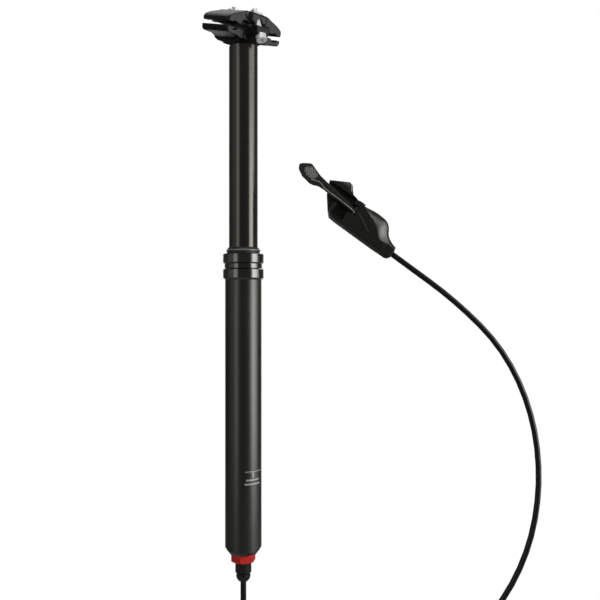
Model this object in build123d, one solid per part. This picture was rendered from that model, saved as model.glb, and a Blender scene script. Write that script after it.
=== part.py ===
from build123d import *
import os
from math import cos, pi, radians, sin, sqrt, tan

# Hydraulic dropper seatpost with its hose and its thumb remote, in millimetres.
# The origin is on the post's axis at the collar's underside, where the seat tube's rim sits.
# +X is the bicycle's forward direction, +Y its left side and +Z runs up the post.
# The post stands at full height, with the saddle clamp nose-down as on a leaning seat tube.

# Clearances and overruns
slip = 0.05                # on the radius, between parts that slide
seat_gap = 0.03            # on the radius, between parts that stay put
stop_gap = 0.3             # between a stop and the buffer it meets
overrun = 5.0              # how far a cutter passes the face it cuts

# Outer tube and its foot
tube_d = 31.6              # the seat tube size that it fits
tube_wall = 2.2
spigot_length = 14.0       # turned end that screws into the collar
spigot_cut = 0.6           # what that end loses, on the radius
foot_spigot = 9.1          # what the foot holds inside the tube
foot_inset = 1.3           # the foot is that much smaller than the tube, on the radius
foot_rim = 2.1             # straight part of the foot below the tube
foot_drop = 5.2            # whole foot below the tube
foot_round = 2.4           # what its lower edge loses, on the radius
oil_way_r = 2.0

# Collar and wiper
collar_r = 17.65
collar_waist_r = 16.3
collar_ring = 8.8          # height of the lower ring
collar_waist = 6.2
collar_top_ring = 7.6
collar_edge = 1.3          # chamfer between ring and waist
collar_foot_edge = 1.7     # chamfer at the collar's underside
wiper_r = 14.2
wiper_seat = 6.0           # depth of the wiper inside the collar
wiper_neck = 2.1           # what shows between the collar and the spring ring
wiper_lip = 3.3            # height of the cone above the neck
wiper_edge_r = 12.9
spring_ring_d = 1.5
wiping_ring_gap = 0.15

# Stanchion and what guides it
stanchion_d = 25.0
stanchion_wall = 1.6
travel = 175.0
overlap = 40.0             # stanchion kept in the tube below the collar
stanchion_chamfer = 1.2
bushing_length = 27.0
bushing_in_collar = 13.0
lower_bushing_length = 13.0
key_count = 3
key_width = 3.0
key_height = 6.0
key_end = 0.8              # from the stanchion's end to the keys
key_bite = 0.8             # depth of the keys' pockets in the stanchion
groove_depth = 0.9         # depth of the keys' grooves in the tube
buffer_height = 6.7
buffer_wall = 5.0

# Hydraulics in the post
shaft_d = 8.0
shaft_bore = 4.0
shaft_seat = 6.0           # what the foot holds of the shaft
seal_head_height = 12.0
shaft_seal_height = 3.0
shaft_seal_wall = 1.5
inner_tube_d = 15.5
inner_tube_wall = 1.0
inner_tube_seat = 3.0
top_out_height = 2.0
piston_height = 12.0
piston_side_gap = 0.2      # piston body to inner tube, on the radius
piston_crown = 4.0         # thickness over the end of the shaft
glide_band_height = 4.0
glide_band_wall = 0.8
compress_room = 25.0       # left above the piston at the lowest height
tube_cap_height = 8.0
tube_cap_seat = 2.0
floating_height = 8.0
floating_rise = 9.5        # above the seal head, at full height
floating_side_gap = 0.25
floating_seal_d = 1.2
poppet_r = 3.2
poppet_height = 3.0
poppet_rod_d = 2.6
poppet_foot_height = 6.0
air_valve_d = 7.8
air_valve_step = 4.4

# Head of the stanchion
rail_rise = 13.4           # saddle rails above the stanchion's top, on the post's axis
clamp_tilt = 17.2          # nose-down angle of the rails, in degrees
seat_r = 9.6               # round underside of the cradle
head_width = 22.0
head_neck = 6.0            # height of the neck's flare
neck_length = 28.0         # the neck's top, along X
neck_inset = 0.5           # and how much narrower than the head it is
neck_corner = 9.0
front_ear_width = 13.0
rear_lug_width = 19.0
rear_lug_wall = 4.1
ear_thickness = 5.2

# Clamp bolts and barrel nuts
bolt_d = 5.0
bolt_head_d = 9.0
bolt_head_height = 3.5
bolt_socket = 4.0          # across flats
bolt_socket_depth = 2.3
bolt_lean = 18.4           # each bolt leans in towards its nut, in degrees
bolt_hole_gap = 1.2        # on the radius, room for the bolt to rock in the head
bolt_slot_gap = 1.0        # on the radius, room in the upper clamp
thread_gap = 0.25          # on the radius, in the barrel nuts
washer_d = 9.4
washer_rim = 0.9
washer_cup_share = 0.8     # of the rounded face that lies in the head's trough
bolt_past_nut = 2.2        # thread above the nuts
washer_barrel = 8.0        # radius of the washer's rounded face
washer_side_gap = 0.3      # beside the washers in the head
nut_d = 7.6
nut_length = 10.0
nut_height = 13.2          # nuts above the rails
front_nut_reach = 13.5     # nuts before and behind the post, along the rails
rear_nut_reach = 18.5
front_bolt_reach = 18.2    # from the nut to the washer's seat
rear_bolt_reach = 18.5

# Saddle clamp
rail_d = 7.0
rail_spacing = 44.0
clamp_width = 60.0
clamp_front = 16.2         # rail channels before and behind the post
clamp_rear = 20.8
clamp_corner = 2.5         # rounding of the clamp's corners, seen from above
clamp_core_width = 31.0    # middle of the upper clamp, down to the parting
clamp_core_front = 10.0
clamp_core_rear = 17.0
parting = 1.2              # from the rails' middle down to the cradle's wings
clamp_parting = 2.3        # and up to the clamp's
cradle_depth = 6.8         # from the rails to the channels' underside
crown_height = 14.6        # top of the upper clamp above the rails
crown_under = 6.4          # its underside above the rails
boss_width = 19.0
boss_edge = 6.0            # metal past each nut's centre
channel_inset = 16.0       # inner lips of the rail channels, from the middle
body_side_gap = 0.6        # between the head's sides and the cradle's webs

# Hose coupling under the post
coupler_flange_r = 11.4
coupler_flange = 1.0
coupler_flats = 19.0
coupler_height = 6.4
coupler_edge = 1.2
coupler_turn = 9.0         # a corner stands that far left of the photographed side, in degrees
coupler_stem_r = 5.0
connector_r = 7.0
connector_height = 10.5
connector_edge = 1.0
connector_neck_r = 5.6
connector_neck = 1.4
connector_bulb_r = 6.2
connector_bulb = 6.2       # height of the rounded end
bulb_side_share = 0.856    # a point on its round side, of its radius
bulb_drop_share = 0.62     # and of its height
stem_top = 2.25            # the connector's stem above the foot's underside
stem_pocket = 3.0          # and the pocket for it

# Hose
hose_d = 5.0
coil_r = 40.0
coil_step = 5.5            # from turn to turn, and from layer to layer
coil_half_turns = 14
coil_drop = 60.2           # from the connector to the coil's centre
coil_end = 5.0             # straight ends of the coil
lead_out = 22.0            # first run of the hose that leaves it
bend_share = 0.45          # of each run of the hose that its bends may take
climb_slope_share = 1.5    # steepest climb between the layers, over its mean
tie_width = 4.0
tie_thickness = 1.0
tie_gap = 0.4
tie_angles = (50.0, 130.0, 270.0)

# Where the remote lies: in the upright plane through the post that faces the given direction
view_azimuth = 46.0        # degrees from the bicycle's side, about the post
remote_right = 128.6       # hose exit of the remote, from the post's axis
remote_up = 22.8
remote_slope = 36.3        # the hose leaves that far below the horizontal, in degrees

# Remote body
remote_length = 80.8
remote_height = 28.2
remote_front = 9.5         # towards the thumb, from the bore's axis
remote_back = 9.0
bevel_front = 6.4          # depth of the upper bevel's middle, in front of the bore's axis
edge_front = 1.0           # and where it meets the body's side
master_bore_d = 9.0
master_bore_start = 12.0
bore_to_pivot = 5.7        # from the bore's open end to the lever's pivot
bladder_d = 7.6
bladder_rise = 12.3        # its axis above the bore's
bladder_start = 18.0
bladder_to_pivot = 8.2
bladder_gap = 0.2
pivot_reach = 46.2         # lever pivot from the hose exit
pivot_front = 4.6          # and in front of the bore's axis
pivot_d = 4.0
pivot_cap_d = 7.0
pivot_cap = 2.6
pivot_top = 17.3
pivot_into_floor = 2.6
hub_r = 3.4
hub_low = -2.5
hub_high = 14.3
hub_gap = 0.4
slot_back = 4.5            # depth of the lever's slot behind the bore's axis
arm_way_low = -3.3         # the open way that the arm sweeps
arm_way_high = 19.4
pivot_to_way = 5.8
arm_notch_low = 6.4        # opening in the front wall over the hub, where the arm comes out
notch_to_pivot = 1.0
arm_way_length = 11.0      # up to the rim that closes the way
rim_thickness = 3.0
rim_high = 5.5
boss_front = 4.0           # the mounting boss stops here, in front of the axis
boss_low = 19.4
mount_hole_d = 5.0
mount_hole_depth = 5.0
mount_hole_back = 3.0
bleed_d = 5.0
bleed_to_pivot = 16.2
bleed_depth = 4.0
bleed_socket_d = 2.2
bleed_socket_depth = 1.4
hose_nut_r = 3.8
hose_nut_out = 0.8
hose_nut_in = 7.0

# Lever and master piston
lever_length = 63.7        # from the pivot to the paddle's tip
lever_width = 14.2         # over arm and paddle, square to the arm
lever_low = 6.8            # the paddle's lowest point, above the bore's axis
lever_edge = 0.8           # chamfer round its outer face
paddle_corner = 2.0
arm_front = 9.2            # faces of the arm, in front of the bore's axis
arm_back = 5.6
cam_r = 2.0
cam_arm = 6.0              # from the pivot to the cam's nose
cam_width = 4.8
rod_d = 4.0
rod_length = 6.0
master_piston_length = 8.0
master_seal_d = 1.4
return_wire_d = 0.8
return_mean_d = 6.4
return_turns = 6

# Values that follow
tube_r = tube_d / 2
bore_r = tube_r - tube_wall
stanchion_r = stanchion_d / 2
stanchion_bore_r = stanchion_r - stanchion_wall
groove_r = bore_r + groove_depth
collar_top = collar_ring + collar_waist + collar_top_ring
wiper_top = collar_top + wiper_neck + wiper_lip
stanchion_top = travel + wiper_top
stanchion_low = -overlap
floor_z = stanchion_low - travel - stop_gap - buffer_height
tube_low = floor_z - foot_spigot
foot_low = tube_low - foot_drop
shaft_low = floor_z - shaft_seat
seal_head_top = stanchion_low + seal_head_height
inner_tube_low = seal_head_top - inner_tube_seat
inner_tube_r = inner_tube_d / 2
inner_bore_r = inner_tube_r - inner_tube_wall
top_out_top = seal_head_top + top_out_height
piston_low = top_out_top + stop_gap
piston_top = piston_low + piston_height
inner_tube_top = piston_top + travel + compress_room
tube_cap_top = inner_tube_top - tube_cap_seat + tube_cap_height
shaft_r = shaft_d / 2
shaft_top = piston_top - piston_crown
tilt = radians(clamp_tilt)
rail_r = rail_d / 2
rail_y = rail_spacing / 2
bolt_r = bolt_d / 2
nut_r = nut_d / 2
hose_r = hose_d / 2
coupler_low = foot_low - coupler_flange - coupler_height
connector_low = coupler_low - connector_height - connector_neck - connector_bulb
neck_top = stanchion_top + head_neck
rail_height = stanchion_top + rail_rise
master_bore_end = pivot_reach - bore_to_pivot
arm_notch_start = pivot_reach - notch_to_pivot
arm_way_start = pivot_reach + pivot_to_way
bleed_reach = pivot_reach - bleed_to_pivot
bladder_length = pivot_reach - bladder_to_pivot - bladder_start
rim_start = arm_way_start + arm_way_length
rim_end = rim_start + rim_thickness

# The saddle clamp's own frame: along the rails, across, and square to both
rail_origin = (0, 0, rail_height)
rail_forward = (cos(tilt), 0, -sin(tilt))
clamp_side = Plane(origin=rail_origin, x_dir=rail_forward, z_dir=(0, -1, 0))
clamp_section = Plane(origin=rail_origin, x_dir=(0, 1, 0), z_dir=rail_forward)

# The remote's frame: back from the hose exit, up, and away from the thumb
azimuth = radians(view_azimuth)
slope = radians(remote_slope)
to_right = Vector(cos(azimuth), sin(azimuth), 0)
to_viewer = Vector(sin(azimuth), -cos(azimuth), 0)


def bench(right, up, toward=0.0):
    """A point given by its place right of the post, its height and its place towards the viewer."""
    return to_right * right + to_viewer * toward + Vector(0, 0, up)


remote_back_dir = to_right * -cos(slope) + Vector(0, 0, sin(slope))
remote_exit = bench(remote_right, remote_up)
remote = Plane(origin=remote_exit, x_dir=remote_back_dir, z_dir=to_viewer * -1)
remote_top = Plane(origin=remote_exit, x_dir=remote_back_dir, z_dir=remote.y_dir)
remote_end = Plane(origin=remote_exit, x_dir=remote.y_dir, z_dir=remote_back_dir)


# Shapes that repeat
def turned(*points):
    """A solid turned about the post's axis from its outline of radius and height."""
    return revolve(make_face(Plane.XZ * Polyline(*points, close=True)), Axis.Z)


def sleeve(r_out, r_in, low, high):
    """A straight sleeve about the post's axis."""
    return Pos(0, 0, low) * extrude(Circle(r_out) - Circle(r_in), high - low)


def rod(r, low, high):
    """A straight round rod about the post's axis."""
    return Pos(0, 0, low) * extrude(Circle(r), high - low)


def o_ring(r_mid, cord_d, z):
    """A ring of round section about the post's axis."""
    return Pos(0, 0, z) * Torus(r_mid, cord_d / 2)


def slab(plane, points, half):
    """A plate of the given outline, half on each side of the plane."""
    return extrude(plane * make_face(Polyline(*points, close=True)), half, both=True)


def scaled(shares, width, height):
    """Outline points from shares of a width and a height."""
    return [(x * width, y * height) for x, y in shares]


def peg(plane, x, y, r, low, high):
    """A round peg square to a plane, between two heights above it."""
    return plane * Pos(x, y, low) * extrude(Circle(r), high - low)


# Post
def outer_tube():
    body = turned(
        (bore_r, tube_low), (tube_r, tube_low), (tube_r, 0), (tube_r - spigot_cut, 0),
        (tube_r - spigot_cut, spigot_length), (bore_r, spigot_length),
    )
    height = spigot_length - floor_z
    groove = Pos(groove_r / 2, 0, floor_z) * Box(
        groove_r, key_width + 2 * slip, height, align=(Align.CENTER, Align.CENTER, Align.MIN)
    )
    grooves = [Rot(0, 0, 360 / key_count * i) * groove for i in range(key_count)]
    return body - grooves


def collar():
    waist_low = collar_ring + collar_edge
    waist_high = collar_ring + collar_waist
    seat_z = collar_top - wiper_seat
    return turned(
        (tube_r - spigot_cut + seat_gap, 0), (collar_r - collar_foot_edge, 0),
        (collar_r, collar_foot_edge), (collar_r, collar_ring),
        (collar_waist_r, waist_low), (collar_waist_r, waist_high - collar_edge),
        (collar_r, waist_high), (collar_r, collar_top - collar_edge / 2),
        (collar_r - collar_edge / 2, collar_top), (wiper_r + seat_gap, collar_top),
        (wiper_r + seat_gap, seat_z), (wiper_r - collar_edge, seat_z),
        (wiper_r - collar_edge, spigot_length), (tube_r - spigot_cut + seat_gap, spigot_length),
    )


def wiper_groove_z():
    return collar_top + wiper_neck + spring_ring_d / 2


def dust_wiper():
    neck_z = collar_top + wiper_neck
    body = turned(
        (stanchion_r + slip, collar_top - wiper_seat), (wiper_r, collar_top - wiper_seat),
        (wiper_r, neck_z + spring_ring_d), (wiper_edge_r, wiper_top), (stanchion_r + slip, wiper_top),
    )
    return body - o_ring(wiper_r, spring_ring_d + 2 * seat_gap, wiper_groove_z())


def wiper_spring_ring():
    return o_ring(wiper_r, spring_ring_d, wiper_groove_z())


def wiping_ring():
    return sleeve(wiper_r - collar_edge - seat_gap, stanchion_r + wiping_ring_gap,
                  spigot_length, collar_top - wiper_seat)


def upper_bushing():
    low = bushing_in_collar - bushing_length
    return sleeve(bore_r - seat_gap, stanchion_r + slip, low, bushing_in_collar)


def foot_plug():
    rim = tube_r - foot_inset
    plug = turned(
        (0, foot_low), (rim - foot_round, foot_low), (rim, tube_low - foot_rim), (rim, tube_low),
        (bore_r - seat_gap, tube_low), (bore_r - seat_gap, floor_z), (0, floor_z),
    )
    plug -= rod(shaft_r + seat_gap, shaft_low, floor_z + overrun)
    plug -= rod(oil_way_r, foot_low - overrun, shaft_low + overrun)
    return plug - rod(coupler_stem_r + seat_gap, foot_low - overrun, foot_low + stem_pocket)


def bottom_buffer():
    return sleeve(stanchion_r, stanchion_r - buffer_wall, floor_z, floor_z + buffer_height)


def inner_shaft():
    return sleeve(shaft_r, shaft_bore / 2, shaft_low, shaft_top)


def main_piston():
    r = inner_bore_r - piston_side_gap
    body = rod(r, piston_low, piston_top)
    body -= rod(shaft_r + seat_gap, piston_low - overrun, shaft_top)
    body -= rod(oil_way_r, piston_low, piston_top + overrun)
    mid = (piston_low + piston_top) / 2
    half = glide_band_height / 2 + seat_gap
    return body - sleeve(r + overrun, inner_bore_r - slip - glide_band_wall - seat_gap, mid - half, mid + half)


def glide_band():
    mid = (piston_low + piston_top) / 2
    outer = inner_bore_r - slip
    return sleeve(outer, outer - glide_band_wall, mid - glide_band_height / 2, mid + glide_band_height / 2)


# Inside and on the stanchion
def key_angles():
    return [360 / key_count * i for i in range(key_count)]


def key_block(gap, outer):
    """One key, from the floor of its pocket out to the given radius."""
    inner = stanchion_r - key_bite
    low = stanchion_low + key_end
    block = Pos((inner + outer) / 2, 0, low - gap) * Box(
        outer - inner, key_width + 2 * gap, key_height + 2 * gap, align=(Align.CENTER, Align.CENTER, Align.MIN)
    )
    return block


def stanchion():
    body = turned(
        (stanchion_bore_r, stanchion_low), (stanchion_r, stanchion_low),
        (stanchion_r, stanchion_top - stanchion_chamfer),
        (stanchion_r - stanchion_chamfer, stanchion_top), (stanchion_bore_r, stanchion_top),
    )
    pocket = key_block(0, stanchion_r + overrun)
    return body - [Rot(0, 0, a) * pocket for a in key_angles()]


def anti_rotation_keys():
    key = key_block(0, groove_r - slip)
    return Compound([Rot(0, 0, a) * key for a in key_angles()])


def lower_bushing():
    low = stanchion_low + key_end + key_height + seat_gap
    return sleeve(bore_r - slip, stanchion_r + seat_gap, low, low + lower_bushing_length)


def seal_head():
    body = rod(stanchion_bore_r - seat_gap, stanchion_low, seal_head_top)
    body -= rod(shaft_r + slip, stanchion_low - overrun, seal_head_top + overrun)
    body -= sleeve(inner_tube_r + seat_gap, inner_bore_r - seat_gap, inner_tube_low, seal_head_top + overrun)
    seal_low = stanchion_low + shaft_seal_height
    return body - rod(shaft_r + shaft_seal_wall + seat_gap, seal_low, seal_low + shaft_seal_height)


def shaft_seal():
    seal_low = stanchion_low + shaft_seal_height
    return sleeve(shaft_r + shaft_seal_wall, shaft_r + slip / 2, seal_low, seal_low + shaft_seal_height)


def inner_tube():
    return sleeve(inner_tube_r, inner_bore_r, inner_tube_low, inner_tube_top)


def top_out_buffer():
    return sleeve(inner_bore_r - piston_side_gap, shaft_r + slip, seal_head_top, top_out_top)


def tube_cap():
    low = inner_tube_top - tube_cap_seat
    body = rod(stanchion_bore_r - seat_gap, low, tube_cap_top)
    body -= sleeve(inner_tube_r + seat_gap, inner_bore_r - seat_gap, low - overrun, inner_tube_top)
    return body - rod(air_valve_d / 4, low - overrun, tube_cap_top + overrun)


def floating_z():
    return seal_head_top + floating_rise


def floating_piston():
    outer = stanchion_bore_r - floating_side_gap
    inner = inner_tube_r + floating_side_gap
    low = floating_z()
    body = sleeve(outer, inner, low, low + floating_height)
    groove = floating_seal_d + 2 * seat_gap
    body -= o_ring(stanchion_bore_r - slip - floating_seal_d / 2, groove, low + floating_height * 3 / 4)
    return body - o_ring(inner_tube_r + slip + floating_seal_d / 2, groove, low + floating_height / 4)


def floating_seals():
    low = floating_z()
    outer = o_ring(stanchion_bore_r - slip - floating_seal_d / 2, floating_seal_d, low + floating_height * 3 / 4)
    inner = o_ring(inner_tube_r + slip + floating_seal_d / 2, floating_seal_d, low + floating_height / 4)
    return Compound([outer, inner])


def poppet_valve():
    """Push rod in the shaft with the valve's disc on top and its own small piston at the foot."""
    head_low = piston_top + seat_gap
    low = shaft_low + seat_gap
    body = rod(poppet_rod_d / 2, low, head_low + poppet_height)
    body += rod(poppet_r, head_low, head_low + poppet_height)
    return body + rod(shaft_bore / 2 - slip, low, low + poppet_foot_height)


def air_valve():
    low = tube_cap_top
    body = rod(air_valve_d / 2, low, stanchion_top)
    return body - rod(air_valve_d / 4, low - overrun, stanchion_top - air_valve_step)


# Head
def clamp_xz(along, above):
    """A place in the clamp's frame as X and Z."""
    return (along * cos(tilt) + above * sin(tilt), rail_height - along * sin(tilt) + above * cos(tilt))


front_nut_xz = clamp_xz(front_nut_reach, nut_height)
rear_nut_xz = clamp_xz(-rear_nut_reach, nut_height)


def bolt_plane(nut_xz, side):
    """The bolt's frame, with its origin at the nut's centre and +Z down the bolt to its head."""
    lean = radians(bolt_lean) * side
    down = (sin(lean), 0, -cos(lean))
    return Plane(origin=(nut_xz[0], 0, nut_xz[1]), x_dir=(0, 1, 0), z_dir=down)


front_bolt = bolt_plane(front_nut_xz, 1)
rear_bolt = bolt_plane(rear_nut_xz, -1)

# Outlines of the head in X and Z, as shares of the seat's radius from the tilt axis
head_core_shares = (
    (-0.84, -1.30), (-1.56, -0.98), (-1.42, -0.36), (-1.0, -0.42), (1.0, -0.46), (1.33, -0.42),
    (1.50, -0.84), (1.30, -1.25), (0.84, -1.30),
)
front_ear_shares = (
    (0.80, -1.28), (1.40, -1.34), (1.80, -1.28), (2.74, -0.98), (2.70, -0.34), (2.10, -0.14),
    (1.33, -0.30), (0.80, -0.60),
)
rear_lug_shares = (
    (-0.80, -1.20), (-1.50, -0.92), (-2.58, -0.40), (-3.05, -0.02), (-3.00, 0.42), (-2.80, 0.64),
    (-1.66, 0.38), (-1.34, -0.24), (-0.80, -0.60),
)


def about_tilt(shares):
    return [(x * seat_r, rail_height + z * seat_r) for x, z in shares]


def head():
    core = slab(Plane.XZ, about_tilt(head_core_shares), head_width / 2)
    core += slab(Plane.XZ, about_tilt(front_ear_shares), front_ear_width / 2)
    core += slab(Plane.XZ, about_tilt(rear_lug_shares), rear_lug_width / 2)
    foot = Pos(0, 0, stanchion_top) * Circle(stanchion_r - stanchion_chamfer)
    top = Pos(0, 0, neck_top) * RectangleRounded(neck_length, head_width - 2 * neck_inset, neck_corner)
    core += loft([foot, top])
    spigot_low = tube_cap_top + slip
    core += rod(stanchion_bore_r - seat_gap, spigot_low, stanchion_top)
    core -= rod(air_valve_d / 2 + seat_gap, spigot_low - overrun, neck_top + overrun)
    core -= extrude(Plane.XZ * Pos(0, rail_height) * Circle(seat_r + slip), head_width, both=True)
    # the pocket that hides the rear bolt's head between the lug's walls
    cup = washer_height() * washer_cup_share
    core -= rear_bolt * Pos(0, 0, rear_bolt_reach + cup) * extrude(
        Circle(rear_lug_width / 2 - rear_lug_wall), 6 * bolt_head_height
    )
    for plane, reach in ((front_bolt, front_bolt_reach), (rear_bolt, rear_bolt_reach)):
        core -= plane * Pos(0, 0, reach - 2 * ear_thickness) * extrude(
            Circle(bolt_r + bolt_hole_gap), 2 * ear_thickness + overrun
        )
        core -= washer_round(plane, reach, washer_barrel + slip, washer_d / 2 + washer_side_gap)
        core -= plane * Pos(0, 0, reach + cup) * extrude(Circle(washer_d / 2 + bolt_slot_gap), washer_barrel)
    return core


def washer_round(plane, reach, r, half):
    """A short roller across the bicycle, about the line on which the bolt rocks."""
    centre = plane.from_local_coords((0, 0, reach + washer_barrel))
    return extrude(Plane(origin=centre, x_dir=(1, 0, 0), z_dir=(0, -1, 0)) * Circle(r), half, both=True)


def washer_height():
    """Height of the rounded face over the washer's rim."""
    return washer_barrel - sqrt(washer_barrel ** 2 - (washer_d / 2) ** 2)


def clamp_bolt(plane, reach):
    """A bolt from its head under the head's ear up through the barrel nut."""
    head_z = reach + washer_height() + washer_rim
    top = nut_r + bolt_past_nut
    body = plane * Pos(0, 0, -top) * extrude(Circle(bolt_r), head_z + top)
    body += plane * Pos(0, 0, head_z) * extrude(Circle(bolt_head_d / 2), bolt_head_height)
    socket_z = head_z + bolt_head_height - bolt_socket_depth
    socket = RegularPolygon(bolt_socket / 2, 6, major_radius=False)
    return body - plane * Pos(0, 0, socket_z) * extrude(socket, bolt_socket_depth + overrun)


def clamp_washer(plane, reach):
    """A washer whose rounded face lies in the ear's trough."""
    rim_z = reach + washer_height()
    roller = washer_round(plane, reach, washer_barrel, washer_d)
    column = plane * Pos(0, 0, reach) * extrude(Circle(washer_d / 2), washer_height() + washer_rim)
    body = column & roller
    body += plane * Pos(0, 0, rim_z) * extrude(Circle(washer_d / 2), washer_rim)
    return body - plane * Pos(0, 0, reach - overrun) * extrude(Circle(bolt_r + seat_gap), 4 * overrun)


def barrel_nut(plane):
    body = extrude(Plane(origin=plane.origin, x_dir=(1, 0, 0), z_dir=(0, -1, 0)) * Circle(nut_r), nut_length / 2,
                   both=True)
    return body - plane * extrude(Circle(bolt_r + thread_gap), nut_d, both=True)


# Saddle clamp
def clamp_outline(points_above):
    """Closes a half outline given for the left side over to the right side."""
    return points_above + [(-x, y) for x, y in reversed(points_above)]


# half sections across the rails, as shares of the clamp's half width and of the heights
upper_roof_shares = ((0.40, 1.0), (0.50, 0.90), (0.78, 0.69), (0.93, 0.51), (1.0, 0.35))
lower_floor_shares = ((1.0, 0.50), (0.90, 0.92), (0.60, 1.0), (0.50, 1.22))
upper_side_shares = (
    (-1.0, 0.62), (-1.0, 0.88), (-0.92, 1.0), (0.73, 1.0), (0.82, 0.88), (0.82, 0.52),
    (0.40, 0.45), (-0.50, 0.45),
)


def rail_bores():
    length = 2 * (clamp_front + clamp_rear)
    bore = extrude(Circle(rail_r), length, both=True)
    return [clamp_section * Pos(side * rail_y, 0, 0) * bore for side in (-1, 1)]


def upper_clamp():
    half = clamp_width / 2
    roof = scaled(upper_roof_shares, half, crown_height)
    under = [(half, clamp_parting), (channel_inset, clamp_parting), (channel_inset - clamp_parting, crown_under)]
    section = clamp_outline(roof + under)
    plate = clamp_section * Pos(0, 0, -clamp_rear) * extrude(
        make_face(Polyline(*section, close=True)), clamp_rear + clamp_front
    )
    rear_end = rear_nut_reach + boss_edge
    bosses = slab(clamp_side, scaled(upper_side_shares, rear_end, crown_height), boss_width / 2)
    core_top = crown_height - boss_edge
    core = ((-clamp_core_rear, clamp_parting), (clamp_core_front, clamp_parting),
            (clamp_core_front, core_top), (-clamp_core_rear, core_top))
    body = plate + bosses + slab(clamp_side, core, clamp_core_width / 2)
    body &= clamp_plan()
    for plane, along in ((front_bolt, front_nut_reach), (rear_bolt, -rear_nut_reach)):
        seat = clamp_side * Pos(along, nut_height) * Circle(nut_r + slip)
        body -= extrude(seat, nut_length / 2 + seat_gap, both=True)
        mouth = clamp_side * Pos(along, nut_height + nut_r) * Rectangle(nut_d + 2 * slip, nut_d)
        body -= extrude(mouth, nut_length / 2 + seat_gap, both=True)
        body -= plane * extrude(Circle(bolt_r + bolt_slot_gap), 2 * crown_height, both=True)
    body -= rail_bores()
    return body


def clamp_plan():
    """The clamp's rounded outline seen square to the rails."""
    plan = Plane(origin=rail_origin, x_dir=rail_forward, z_dir=clamp_section.y_dir)
    rear = rear_nut_reach + boss_edge
    wings = Pos((clamp_front - clamp_rear) / 2, 0) * RectangleRounded(
        clamp_front + clamp_rear, clamp_width, clamp_corner
    )
    bosses = Pos((front_nut_reach + boss_edge - rear) / 2, 0) * RectangleRounded(
        front_nut_reach + boss_edge + rear, boss_width, boss_edge / 2
    )
    return extrude(plan * (wings + bosses), 2 * crown_height, both=True)


def lower_cradle():
    half = clamp_width / 2
    web = head_width / 2 + body_side_gap
    floor = [(x * half, -y * cradle_depth) for x, y in lower_floor_shares]
    section = [(half, -parting)] + floor + [(web, -parting - cradle_depth), (web, -parting)]
    length = clamp_rear + clamp_front
    side = extrude(make_face(Polyline(*section, close=True)), length)
    wings = [
        clamp_section * Pos(0, 0, -clamp_rear) * side,
        mirror(clamp_section * Pos(0, 0, -clamp_rear) * side, about=Plane.XZ),
    ]
    half_disc = clamp_side * (Circle(seat_r) & Pos(0, -seat_r - parting) * Rectangle(4 * seat_r, 2 * seat_r))
    body = extrude(half_disc, web, both=True) + wings
    body &= clamp_plan()
    return body - rail_bores()


# Hose coupling
def coupler_nut():
    flange_low = foot_low - coupler_flange
    body = rod(coupler_flange_r, flange_low, foot_low)
    hexagon = RegularPolygon(coupler_flats / 2, 6, major_radius=False)
    turn = view_azimuth - 90 - coupler_turn
    prism = Pos(0, 0, coupler_low) * Rot(0, 0, turn) * extrude(hexagon, coupler_height)
    corner = coupler_flats / 2 / cos(radians(30)) + seat_gap
    cone = turned(
        (0, coupler_low), (corner - coupler_edge, coupler_low), (corner, coupler_low + coupler_edge / 2),
        (corner, flange_low), (0, flange_low),
    )
    body += prism & cone
    return body - rod(coupler_stem_r + seat_gap, coupler_low - overrun, foot_low + overrun)


def hose_connector():
    neck_top_z = coupler_low - connector_height
    bulb_top = neck_top_z - connector_neck
    body = turned(
        (0, neck_top_z), (connector_r - connector_edge, neck_top_z),
        (connector_r, neck_top_z + connector_edge), (connector_r, coupler_low), (0, coupler_low),
    )
    body += rod(coupler_stem_r, coupler_low, foot_low + stem_top)
    body += rod(connector_neck_r, bulb_top, neck_top_z)
    bulb = make_face(
        Polyline((hose_r, connector_low), (0, connector_low), (0, bulb_top), (connector_bulb_r, bulb_top))
        + ThreePointArc(
            (connector_bulb_r, bulb_top),
            (connector_bulb_r * bulb_side_share, bulb_top - connector_bulb * bulb_drop_share),
            (hose_r, connector_low),
        )
    )
    body += revolve(Plane.XZ * bulb, Axis.Z)
    return body - rod(oil_way_r / 2, connector_low + connector_bulb, foot_low + overrun)


# Hose
def biarc(start, start_dir, end, end_dir):
    """Two arcs that join two points and leave and arrive along the given directions."""
    v = end - start
    t = start_dir + end_dir
    a = 2 * (1 - start_dir.dot(end_dir))
    b = 2 * v.dot(t)
    c = -v.dot(v)
    reach = (-b + sqrt(b * b - 4 * a * c)) / (2 * a)
    joint = (start + start_dir * reach + end - end_dir * reach) * 0.5
    middle = (end - end_dir * reach - start - start_dir * reach).normalized()
    return [TangentArc(start, joint, tangent=start_dir), TangentArc(joint, end, tangent=middle)]


coil_z = connector_low - coil_drop
climb_half_turn = coil_half_turns // 2


def coil_radius(i):
    """Radius of the half turn with the given number: in for the first half of them, then out again."""
    return coil_r - min(i, coil_half_turns - i) * coil_step / 2


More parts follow.
